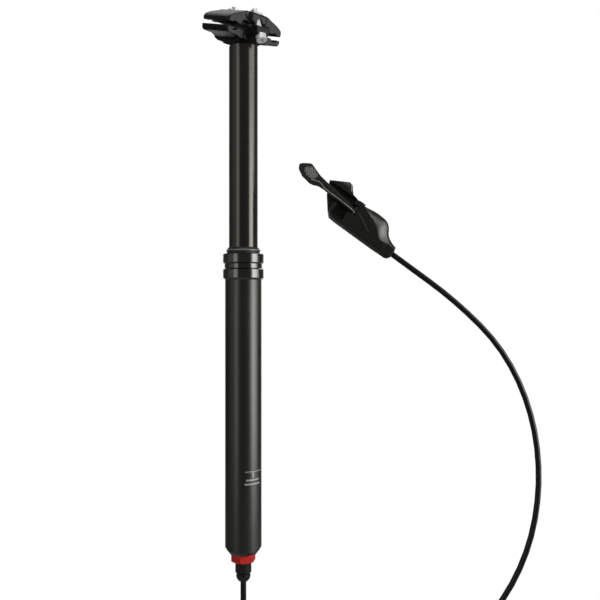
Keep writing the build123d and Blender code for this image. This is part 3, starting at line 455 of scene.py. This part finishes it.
# %% Collar black
collar_black = new_finish("collar_black", (0.13, 0.13, 0.122), 0.16, metallic=1.0)
turned = placed_noise(collar_black, 90, stretch=(0.3, 0.3, 14))
vary_roughness(collar_black, turned, 0.12, 0.20)
dress(collar_black, "collar")

# %% [markdown]
# ## Softened edges
# A forged or moulded piece has no razor edge: every corner is a small round that catches a line of
# light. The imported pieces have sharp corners, so the ones that show get a copy whose sharp edges are
# rounded. Each copy is merged into one skin first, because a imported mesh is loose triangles. A Bevel
# modifier would round them as well, but here single edges can be picked, and stray points mended.

# %% Softened copy
weld = 0.01                 # points this close are one point
flat = radians(0.6)         # faces that meet at less than this are one face
stray_reach = 0.7           # a round's points stay within this share of its width from the skin


def merged(name):
    """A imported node's mesh as one skin, and a tree that finds the nearest point on it."""
    bm = bmesh.new()
    bm.from_mesh(nodes[name].data)
    bmesh.ops.remove_doubles(bm, verts=bm.verts, dist=weld * MM)
    bmesh.ops.dissolve_limit(bm, angle_limit=flat, verts=bm.verts, edges=bm.edges)
    return bm, BVHTree.FromBMesh(bm)


def rounded(bm, edges, width, segments=3):
    """Rounds the given edges by a width."""
    bmesh.ops.bevel(bm, geom=edges, offset=width * MM, offset_type="OFFSET", segments=segments,
                    profile=0.5, affect="EDGES", clamp_overlap=False, material=-1)


def keep_near(bm, skin, reach):
    """Brings back the points that a bevel threw off the skin, where many short edges meet."""
    strays = 0
    for vert in bm.verts:
        near, normal, index, distance = skin.find_nearest(vert.co)
        if distance > reach * MM:
            vert.co = near
            strays += 1
    return strays


def stand_in(bm, name, body, material):
    """A piece from a bmesh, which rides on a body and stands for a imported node."""
    bmesh.ops.recalc_face_normals(bm, faces=bm.faces)
    mesh = bpy.data.meshes.new(name + "_soft")
    bm.to_mesh(mesh)
    bm.free()
    mesh.shade_smooth()
    mesh.set_sharp_from_angle(angle=crease)
    paint(mesh, material)
    piece = bpy.data.objects.new(name + "_soft", mesh)
    scene.collection.objects.link(piece)
    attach(piece, body)
    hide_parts(name)
    return piece


def softened(name, body, width, material, larger=(), apart=None, angle=24.0):
    """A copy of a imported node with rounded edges, which stands for the node.

    larger pairs a test of an edge with the width of a larger round, which comes before the rest, and
    apart picks the edges that stay sharp. Only edges sharper than the angle, in degrees, are rounded."""
    bm, skin = merged(name)
    wide = 0
    for picks, own_width in larger:
        edges = [e for e in bm.edges if len(e.link_faces) == 2 and picks(e)]
        rounded(bm, edges, own_width, segments=6)
        wide += len(edges)
    sharp = [e for e in bm.edges if len(e.link_faces) == 2 and e.calc_face_angle() > radians(angle)]
    if apart:
        sharp = [e for e in sharp if not apart(e)]
    rounded(bm, sharp, width)
    widest = max([width] + [own_width for picks, own_width in larger])
    strays = keep_near(bm, skin, stray_reach * widest)
    piece = stand_in(bm, name, body, material)
    even = piece.modifiers.new("even_flats", "WEIGHTED_NORMAL")     # flat faces keep a flat shade
    even.keep_sharp = True
    print(name, "faces:", len(piece.data.polygons), "rounded:", len(sharp), "+", wide, "strays:", strays)
    return piece


# %% [markdown]
# ## The head and the saddle clamp
# The head, the cradle and the upper clamp are forged, then anodised without polishing: a satin dark grey
# with a fine grain. The bolts, washers and barrel nuts are plain bright steel with a brushed look,
# which comes from noise that is stretched along the bolts.

# %% Forged dark grey
forged_grey = new_finish("forged_grey", (0.007, 0.007, 0.006), 0.42, specular=0.28)
forged = placed_noise(forged_grey, 900, detail=4.0)
vary_roughness(forged_grey, forged, 0.36, 0.48)
add_grain(forged_grey, forged, 0.18, 0.00008)
softened("head", "inner_post", 0.5, forged_grey)
softened("lower_cradle", "saddle_clamp", 0.5, forged_grey)
softened("upper_clamp", "saddle_clamp", 0.7, forged_grey)

# %% Bright steel
bright_steel = new_finish("bright_steel", (0.88, 0.88, 0.86), 0.38, metallic=0.45)
drawn = placed_noise(bright_steel, 1400, stretch=(1, 1, 0.2))
vary_roughness(bright_steel, drawn, 0.34, 0.46)
dress(bright_steel, "front_bolt", "front_washer", "rear_bolt", "rear_washer", "front_barrel_nut",
      "rear_barrel_nut")

# %% [markdown]
# ## Small pieces along the post
# The wiper is matt rubber, held by a pale ring of wound wire. At the foot sit a red anodised nut and the
# hose's glossy moulded connector. They are small in the picture, but each mirrors light in its own way,
# so each has a finish of its own.

# %% Rubber and the pale spring ring
wiper_rubber = new_finish("wiper_rubber", (0.010, 0.010, 0.010), 0.5, specular=0.5)
bloom = placed_noise(wiper_rubber, 700)
vary_roughness(wiper_rubber, bloom, 0.5, 0.65)
dress(wiper_rubber, "dust_wiper", "bottom_buffer", "top_out_buffer", "shaft_seal", "floating_seals",
      "master_seal", "expansion_bladder")
pale_ring = new_finish("pale_ring", (0.28, 0.27, 0.26), 0.35, metallic=0.6)
coiled = placed_noise(pale_ring, 2500)
vary_roughness(pale_ring, coiled, 0.25, 0.4)
dress(pale_ring, "wiper_spring_ring")

# %% Red anodised coupling
coupler_red = new_finish("coupler_red", (1.0, 0.05, 0.045), 0.3, metallic=0.65, specular=0.5)
milled = placed_noise(coupler_red, 1200, stretch=(1, 1, 0.3))
vary_roughness(coupler_red, milled, 0.27, 0.33)
dress(coupler_red, "coupler_nut")

# %% Glossy black connector and small black fittings
connector_black = new_finish("connector_black", (0.004, 0.004, 0.004), 0.14, specular=0.75)
moulded = placed_noise(connector_black, 800)
vary_roughness(connector_black, moulded, 0.12, 0.18)
dress(connector_black, "hose_connector")
pin_black = new_finish("pin_black", (0.02, 0.02, 0.021), 0.3, metallic=0.6)
oxide = placed_noise(pin_black, 900)
vary_roughness(pin_black, oxide, 0.26, 0.4)
dress(pin_black, "pivot_pin", "bleed_screw", "hose_nut")

# %% [markdown]
# ## The remote
# The remote is a glossy moulded body. Its front is flat down to a rounded lower edge, and its long upper
# bevel catches the light. The remote hangs at a slope, so it has a frame of its own: u runs from the
# hose exit along the body, v runs up across it and w comes towards the viewer.

# %% The remote's own frame
remote_right = 128.6
remote_up = 22.8
remote_slope = radians(36.3)


def remote_point(u, v, w=0.0):
    """A point from millimetres along, across and out of the remote."""
    right = remote_right - cos(remote_slope) * u + sin(remote_slope) * v
    up = remote_up + sin(remote_slope) * u + cos(remote_slope) * v
    return bench(right, up, w)


along_u = (remote_point(1, 0) - remote_point(0, 0)).normalized()
along_v = (remote_point(0, 1) - remote_point(0, 0)).normalized()


def remote_place(point):
    """Along, across and out of the remote, in millimetres, of a point in metres."""
    step = (point - remote_point(0, 0)) / MM
    return step.dot(along_u), step.dot(along_v), step.dot(to_viewer)


print("u:", [round(c, 3) for c in along_u], "v:", [round(c, 3) for c in along_v])

# %% [markdown]
# The remote's two large rounds are made before the small ones. A test of where an edge lies and which
# way its faces look picks each, because the edges of an imported mesh have no names.


# %% Which edges of the remote
def edge_place(edge):
    """The middle of an edge in the remote's frame."""
    return remote_place((edge.verts[0].co + edge.verts[1].co) / 2)


def lower_front_edge(edge):
    """The long edge between the front and the underside."""
    u, v, w = edge_place(edge)
    down = min(face.normal.dot(along_v) for face in edge.link_faces)
    out = max(face.normal.dot(to_viewer) for face in edge.link_faces)
    return w > 8 and v < -2 and u < 60 and down < -0.6 and out > 0.8


def boss_side_edge(edge):
    """The upright edge of the mounting boss on the hose's side."""
    u, v, w = edge_place(edge)
    back = min(face.normal.dot(along_u) for face in edge.link_faces)
    out = max(face.normal.dot(to_viewer) for face in edge.link_faces)
    return 3 < w < 5 and v > 20 and u < 66 and back < -0.5 and out > 0.8


def crisp_edge(edge):
    """Edges of the lever's way, which a moulding leaves crisp, and two too close together for a round."""
    u, v, w = edge_place(edge)
    return 43 < u < 64 and -4 < v < 17 or u > 80 and 19 < v < 20


# %% Remote body
remote_black = new_finish("remote_black", (0.007, 0.007, 0.006), 0.26, specular=0.8, tint=(1.0, 0.98, 0.93))
grained = placed_noise(remote_black, 1500, detail=2.0)
vary_roughness(remote_black, grained, 0.22, 0.32)
add_grain(remote_black, grained, 0.08, 0.00005)
lower_front_round = 2.2
boss_round = 3.0
softened("remote_body", "lower", 0.4, remote_black,
         larger=((lower_front_edge, lower_front_round), (boss_side_edge, boss_round)), apart=crisp_edge)

# %% [markdown]
# ## The return spring
# The lever drives a small piston along the remote, and a spring pushes it back. As the piston comes in, the
# spring gets shorter by the piston's travel, while its far end stays where it is. A rigid copy would be cut
# through by the piston. Here the spring is a merged copy of the imported one with a mesh of its own, and it
# rides on the remote.

# %% Return spring
bm, skin = merged("return_spring")
spring = stand_in(bm, "return_spring", "lower", bright_steel)
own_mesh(spring)

# %% [markdown]
# ## The lever
# The lever is a forged arm with a thumb paddle. A pale line along it is a painted highlight: the light that
# the edge of its lower side catches. The paddle has an etched honeycomb for grip. Both are thin pieces on
# the lever's face: the line is an edge that is extruded from point to point, and each cell is a hexagon
# whose middle is inset and taken out.

# %% Lever
lever_black = new_finish("lever_black", (0.012, 0.012, 0.010), 0.34, specular=0.7)
tumbled = placed_noise(lever_black, 1100)
vary_roughness(lever_black, tumbled, 0.28, 0.42)
softened("lever", "lever", 0.2, lever_black)


# %% Thin lines on a face
def raise_faces(bm, faces, height):
    """Gives flat faces a height towards the viewer."""
    made = bmesh.ops.extrude_face_region(bm, geom=faces)["geom"]
    top = [g for g in made if isinstance(g, bmesh.types.BMVert)]
    bmesh.ops.translate(bm, verts=top, vec=to_viewer * height * MM)


def on_side(vert, centre, offset):
    """True where a point lies on the offset's side of a centre."""
    u, v, w = remote_place(vert.co)
    return (Vector((u, v)) - centre).dot(offset) > 0


def line_on_remote(bm, points, width, face_w, height):
    """A thin raised line through points along and across the remote."""
    run = [Vector(p) for p in points]
    offsets = []
    for before, after in zip(run[:1] + run, run[1:] + run[-1:]):
        step = (after - before).normalized()
        offsets.append(Vector((-step.y, step.x)) * width / 2)
    centre, offset = run[0], offsets[0]
    ends = [bm.verts.new(remote_point(*(centre + side * offset), face_w)) for side in (1, -1)]
    edge = bm.edges.new(ends)
    faces = []
    for next_centre, next_offset in zip(run[1:], offsets[1:]):
        made = bmesh.ops.extrude_edge_only(bm, edges=[edge])["geom"]
        edge = next(g for g in made if isinstance(g, bmesh.types.BMEdge))
        faces += [g for g in made if isinstance(g, bmesh.types.BMFace)]
        for vert in edge.verts:
            side = 1 if on_side(vert, centre, offset) else -1
            vert.co = remote_point(*(next_centre + side * next_offset), face_w)
        centre, offset = next_centre, next_offset
    raise_faces(bm, faces, height)


def thin_piece(name, bm, body, material):
    """Turns a bmesh of thin forms into a piece that rides on a body."""
    bmesh.ops.recalc_face_normals(bm, faces=bm.faces)
    print(name, "faces:", len(bm.faces), "open edges:", count_open(bm))
    mesh = bpy.data.meshes.new(name)
    bm.to_mesh(mesh)
    bm.free()
    paint(mesh, material)
    piece = bpy.data.objects.new(name, mesh)
    scene.collection.objects.link(piece)
    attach(piece, body)
    return piece


# %% Painted highlight along the lever
lever_face = 9.2            # out of the remote
line_width = 0.45
line_height = 0.12
line_points = (
    (93.6, 9.6), (90.9, 11.0), (87.3, 12.0), (83.8, 11.7), (80.7, 10.4), (73.8, 10.1),
    (65.3, 10.1), (57.9, 10.0), (51.7, 9.7), (48.4, 9.3), (47.0, 8.6),
)
# a pale grey strip painted as the highlight on the edge of the lever's lower side
painted_edge_highlight = new_finish("painted_edge_highlight", (0.62, 0.61, 0.57), 0.42, metallic=0.3)
vary_roughness(painted_edge_highlight, placed_noise(painted_edge_highlight, 1500), 0.36, 0.5)
bm = bmesh.new()
line_on_remote(bm, line_points, line_width, lever_face, line_height)
thin_piece("lever_edge_highlight", bm, "lever", painted_edge_highlight)

# %% Etched honeycomb on the paddle
pad_outline = [Vector(p) for p in (
    (104.0, 14.4), (103.2, 17.2), (99.6, 19.3), (91.0, 16.4), (90.2, 13.7), (92.4, 10.8), (96.0, 9.8),
    (100.6, 11.4),
)]
pad_middle = Vector((97.2, 14.5))
cell_pitch = 1.9
row_pitch = cell_pitch * sin(radians(60))
cell_gap = 0.02             # keeps neighbouring cells from sharing an edge
cell_line = 0.33
cell_height = 0.1
rows_each_way = 8           # more than the paddle holds


def inside(point, outline):
    """True where a point lies within a convex outline."""
    turns = [(b - a).cross(point - a) for a, b in zip(outline, outline[1:] + outline[:1])]
    return min(turns) > 0 or max(turns) < 0


def add_cell(bm, centre):
    """Adds a flat hexagon on the lever's face."""
    radius = cell_pitch / sqrt(3) - cell_gap
    for vert in bmesh.ops.create_circle(bm, cap_ends=True, segments=6, radius=radius)["verts"]:
        vert.co = remote_point(centre.x + vert.co.x, centre.y + vert.co.y, lever_face)


etched_grey = new_finish("etched_grey", (0.38, 0.38, 0.35), 0.5)
vary_roughness(etched_grey, placed_noise(etched_grey, 1900), 0.48, 0.62)
bm = bmesh.new()
each_way = range(-rows_each_way, rows_each_way + 1)
for row in each_way:
    for column in each_way:
        centre = pad_middle + Vector(((column + row % 2 / 2) * cell_pitch, row * row_pitch))
        if inside(centre, pad_outline):
            add_cell(bm, centre)
caps = list(bm.faces)
print("cells:", len(caps))
bmesh.ops.inset_individual(bm, faces=caps, thickness=cell_line * MM)
bmesh.ops.delete(bm, geom=caps, context="FACES")
raise_faces(bm, list(bm.faces), cell_height)
thin_piece("paddle_grip", bm, "lever", etched_grey)

# %% [markdown]
# ## The seam of the moulding
# The remote's shell is moulded in two halves, and a fine raised line shows where they meet. Its pale
# brownish colour is a painted highlight: the light that the edge of the split catches. It is a line of the
# same kind as the lever's, only thinner, darker and lower.

# %% Seam of the moulding
body_face = 9.5             # out of the remote
seam_width = 0.3
seam_height = 0.08
seam_points = ((44.6, 10.6), (41.6, 9.4), (36.3, 7.2), (32.0, 4.9), (27.9, 2.4))
bm = bmesh.new()
line_on_remote(bm, seam_points, seam_width, body_face, seam_height)
# the seam's pale brownish colour is a painted highlight on the split's edge
seam_painted_highlight = new_finish("seam_painted_highlight", (0.17, 0.13, 0.11), 0.35, specular=0.8)
vary_roughness(seam_painted_highlight, placed_noise(seam_painted_highlight, 1500), 0.3, 0.42)
thin_piece("moulding_seam", bm, "lower", seam_painted_highlight)

# %% [markdown]
# ## The inner pieces
# Nothing of these shows while the post is whole, but a reader may take it apart. Each gets the finish
# of its kind: drawn metal for shafts and pistons, brass for the air valve, a cream polymer for the
# bushings and keys, and open foam for the ring that oils the stanchion.

# %% Inner metal and brass
inner_metal = new_finish("inner_metal", (0.55, 0.56, 0.58), 0.3, metallic=1.0)
vary_roughness(inner_metal, placed_noise(inner_metal, 700, stretch=(1, 1, 6)), 0.24, 0.38)
dress(inner_metal, "inner_shaft", "inner_tube", "tube_cap", "seal_head", "floating_piston", "main_piston",
      "master_piston", "poppet_valve")
valve_brass = new_finish("valve_brass", (0.6, 0.42, 0.16), 0.3, metallic=1.0)
vary_roughness(valve_brass, placed_noise(valve_brass, 900), 0.25, 0.4)
dress(valve_brass, "air_valve")

# %% Bushing polymer and foam
bushing_cream = new_finish("bushing_cream", (0.55, 0.5, 0.36), 0.5)
vary_roughness(bushing_cream, placed_noise(bushing_cream, 600), 0.42, 0.58)
dress(bushing_cream, "upper_bushing", "lower_bushing", "glide_band", "anti_rotation_keys")
foam_grey = new_finish("foam_grey", (0.2, 0.2, 0.21), 0.9)
add_grain(foam_grey, placed_noise(foam_grey, 2200), 0.6, 0.0003)
dress(foam_grey, "wiping_ring")

# %% [markdown]
# ## The hose
# A brake-like hose of 5 mm, about two metres long, joins the foot of the post to the remote. What the
# photograph doesn't show is put away in a tied coil under the post, and the rest runs in one long
# curve to the remote. A mesh tube would do too, but a curve stays smooth everywhere: its points are the
# route, and its round section comes from its bevel.

# %% Hose sizes
hose_radius = 2.5
hose_exit_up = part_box("hose_connector")[0].z / MM
coil_outer = 40.0
coil_step = 5.5
coil_half_turns = 14
coil_drop = 60.2            # from the hose's exit down to the coil's middle
coil_up = hose_exit_up - coil_drop
points_per_half_turn = 8
coil_spread = 1.01          # the smooth curve runs a little inside its points
print("coil at", round(coil_up, 1), "mm")

# %% [markdown]
# The coil is made of half circles. Each is a little smaller than the one before, until half of them are
# laid, then the hose steps back by a little more than its own thickness and winds out again. The
# centres hop from side to side, so that each half circle starts where the last one ended.


# %% Coil
def coil_radius(i):
    """Radius of a half turn: the coil winds in for its first half and out again for its second."""
    return coil_outer - min(i, coil_half_turns - i) * coil_step / 2


def coil_side(i):
    """On which side of its start a half turn's centre lies: 1 is right, and -1 is left."""
    return 1 if i % 2 == 0 else -1


def coil_points():
    """Route points of the coil, half turn by half turn, in millimetres right, up and towards."""
    points = []
    start = 0.0
    depth = 0.0
    for i in range(coil_half_turns + 1):
        r = coil_radius(i)
        side = coil_side(i)
        centre = start + side * r
        climb = -coil_step if i == coil_half_turns // 2 else 0.0
        last = points_per_half_turn if i < coil_half_turns else points_per_half_turn // 2
        for k in range(last):
            t = (k + 0.5) / points_per_half_turn
            points.append((
                centre - side * r * coil_spread * cos(pi * t),
                coil_up - side * r * coil_spread * sin(pi * t),
                depth + climb * (3 * t ** 2 - 2 * t ** 3),
            ))
        start = centre + side * r
        depth += climb
    return points


print("coil points:", len(coil_points()))

# %% Hose route
leads_down = (0, 12, 32, 50)    # points under the connector, above the coil
leave_coil = 5.0            # points along the coil's foot, right of its middle
lead_out = 22.0
hose_nut_out = 0.8
nut_lead = 14.0             # straight stretch into the remote's nut
sweep = [                   # the wide curve up to the remote
    (118, -354, -5), (172, -333, -4), (218, -294, -3), (248, -240, -2),
    (259, -179, -1), (252, -117, 0), (227, -61, 0), (185, -18.6, 0),
]
last_r = coil_radius(coil_half_turns)
coil_centre = 2 * sum(coil_side(i) * coil_radius(i) for i in range(coil_half_turns)) + last_r
coil_low = coil_up - last_r


def before_remote(distance):
    """A route point on the line of the remote's bore, at a distance outside its hose exit."""
    return (remote_right + cos(remote_slope) * distance, remote_up - sin(remote_slope) * distance, 0)


route = [(0, hose_exit_up - down, 0) for down in leads_down]
route += coil_points()
route += [(coil_centre + right, coil_low, -coil_step) for right in (leave_coil, lead_out)]
route += sweep
route += [before_remote(hose_nut_out + nut_lead), before_remote(hose_nut_out)]
print("hose points:", len(route))

# %% Hose curve
hose_curve = bpy.data.curves.new("hose", "CURVE")
hose_curve.dimensions = "3D"
hose_curve.bevel_depth = hose_radius * MM
hose_curve.bevel_resolution = 5
hose_curve.resolution_u = 4
hose_curve.use_fill_caps = True
spline = hose_curve.splines.new("NURBS")
spline.points.add(len(route) - 1)
for point, place in zip(spline.points, route):
    point.co = (*bench(*place), 1)
spline.order_u = 3
spline.use_endpoint_u = True
hose = bpy.data.objects.new("hose", hose_curve)
scene.collection.objects.link(hose)
hose_black = new_finish("hose_black", (0.004, 0.004, 0.004), 0.32, specular=0.4)
extruded = placed_noise(hose_black, 900, detail=2.0)
vary_roughness(hose_black, extruded, 0.26, 0.36)
hose_curve.materials.append(hose_black)
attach(hose, "lower")
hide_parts("hose_post_side", "hose_coil", "hose_remote_side")
print("hose radius:", hose_radius, "mm")

# %% Ties
tie_black = new_finish("tie_black", (0.02, 0.02, 0.02), 0.45)
vary_roughness(tie_black, placed_noise(tie_black, 1200), 0.4, 0.55)
dress(tie_black, "hose_ties")
